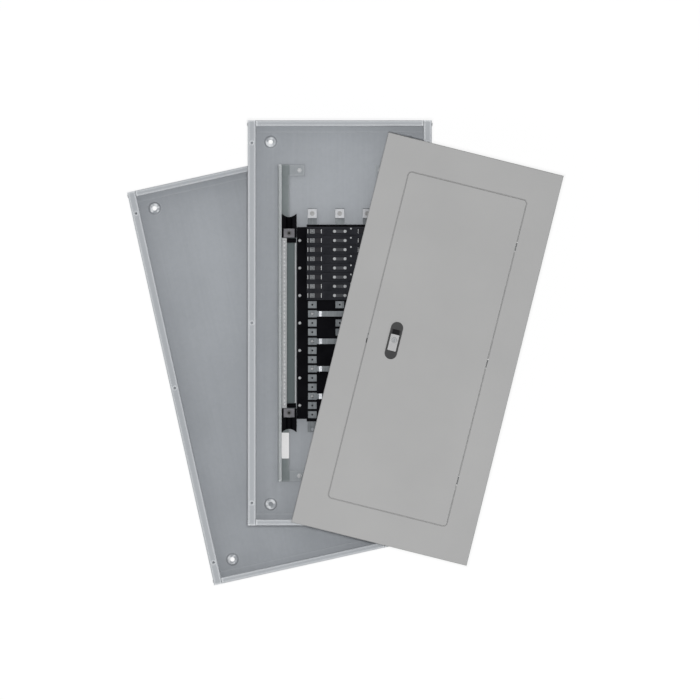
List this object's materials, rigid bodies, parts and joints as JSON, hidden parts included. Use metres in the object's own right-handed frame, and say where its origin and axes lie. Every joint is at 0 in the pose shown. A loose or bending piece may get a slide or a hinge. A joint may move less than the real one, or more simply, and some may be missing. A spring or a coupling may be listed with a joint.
{
  "type": "panelboard enclosure set",
  "caption": "Fanned panelboard set: an empty galvanised back box, the same box with its black bus interior, and a grey trim front with a hinged door and slide latch.",
  "frame": {"origin": "middle of the whole set's floor plan, on the floor under the empty box's back", "axes": "+X to the right and +Y towards the top end of the fitted box, +Z out of the fronts, up from the floor the set lies on"},
  "size_m": [1.2095, 1.2878, 0.3088],
  "materials": {
    "galvanised_steel": "satin galvanised sheet",
    "plated_steel": "zinc plated",
    "tinned_aluminium": "tin plated, satin",
    "black_moulding": "moulded, fine grain",
    "grey_moulding": "moulded, satin",
    "grey_paint": "powder coat, satin",
    "card": "uncoated",
    "bright_metal": "polished plate"
  },
  "bodies": {
    "empty_box": {"empty_box_shell": "galvanised_steel", "empty_box_top_wall": "galvanised_steel", "empty_box_bottom_wall": "galvanised_steel", "empty_box_wall_screws": "plated_steel"},
    "fitted_box": {"box_shell": "galvanised_steel", "box_top_wall": "galvanised_steel", "box_bottom_wall": "galvanised_steel", "box_wall_screws": "plated_steel", "interior_studs": "plated_steel", "interior_nuts": "plated_steel", "left_rail": "galvanised_steel", "right_rail": "galvanised_steel", "cross_braces": "galvanised_steel", "brace_screws": "plated_steel", "bus_base": "black_moulding", "base_screws": "plated_steel", "left_bus_bar": "tinned_aluminium", "center_bus_bar": "tinned_aluminium", "right_bus_bar": "tinned_aluminium", "bus_cover": "black_moulding", "cross_straps": "tinned_aluminium", "strap_bolts": "plated_steel", "connector_blocks": "black_moulding", "terminal_clips": "tinned_aluminium", "center_links": "tinned_aluminium", "connector_screws": "plated_steel", "link_screws": "plated_steel", "main_lugs": "tinned_aluminium", "main_lug_screws": "plated_steel", "left_neutral_bar": "tinned_aluminium", "right_neutral_bar": "tinned_aluminium", "left_neutral_screws": "plated_steel", "right_neutral_screws": "plated_steel", "neutral_supports": "black_moulding", "neutral_lugs": "tinned_aluminium", "neutral_lug_screws": "plated_steel"},
    "trim": {"trim_frame": "grey_paint", "trim_returns": "grey_paint", "opening_lip": "grey_paint", "door_stops": "grey_paint", "trim_hooks": "plated_steel", "hinge_frame_leaves": "plated_steel", "hinge_pins": "plated_steel", "latch_keeper": "plated_steel"},
    "door": {"door_panel": "grey_paint", "door_returns": "grey_paint", "hinge_door_arms": "plated_steel", "latch_housing": "grey_moulding", "latch_clip": "plated_steel", "directory_holder": "grey_paint", "directory_card": "card"},
    "latch": {"latch_slide": "bright_metal", "latch_bolt": "plated_steel"},
    "lock": {"lock_plug": "bright_metal", "lock_cam": "plated_steel"}
  },
  "joints": [
    {"name": "fitted_box_lift", "type": "slide", "parent": "empty_box", "child": "fitted_box", "axis": [0, 0, 1], "range_m": [0, 0.25]},
    {"name": "trim_lift", "type": "slide", "parent": "fitted_box", "child": "trim", "axis": [0, 0, 1], "range_m": [0, 0.25]},
    {"name": "door_swing", "type": "hinge", "parent": "trim", "child": "door", "pos_m": [0.40526, -0.03117, 0.2996], "axis": [0.2419, 0.9703, 0], "range_deg": [0, 105]},
    {"name": "latch_slide", "type": "slide", "parent": "door", "child": "latch", "axis": [0.2419, 0.9703, 0], "range_m": [0, 0.012]},
    {"name": "lock_turn", "type": "hinge", "parent": "latch", "child": "lock", "pos_m": [0.13649, 0.03791, 0.3044], "axis": [0, 0, 1], "range_deg": [0, 90]}
  ]
}
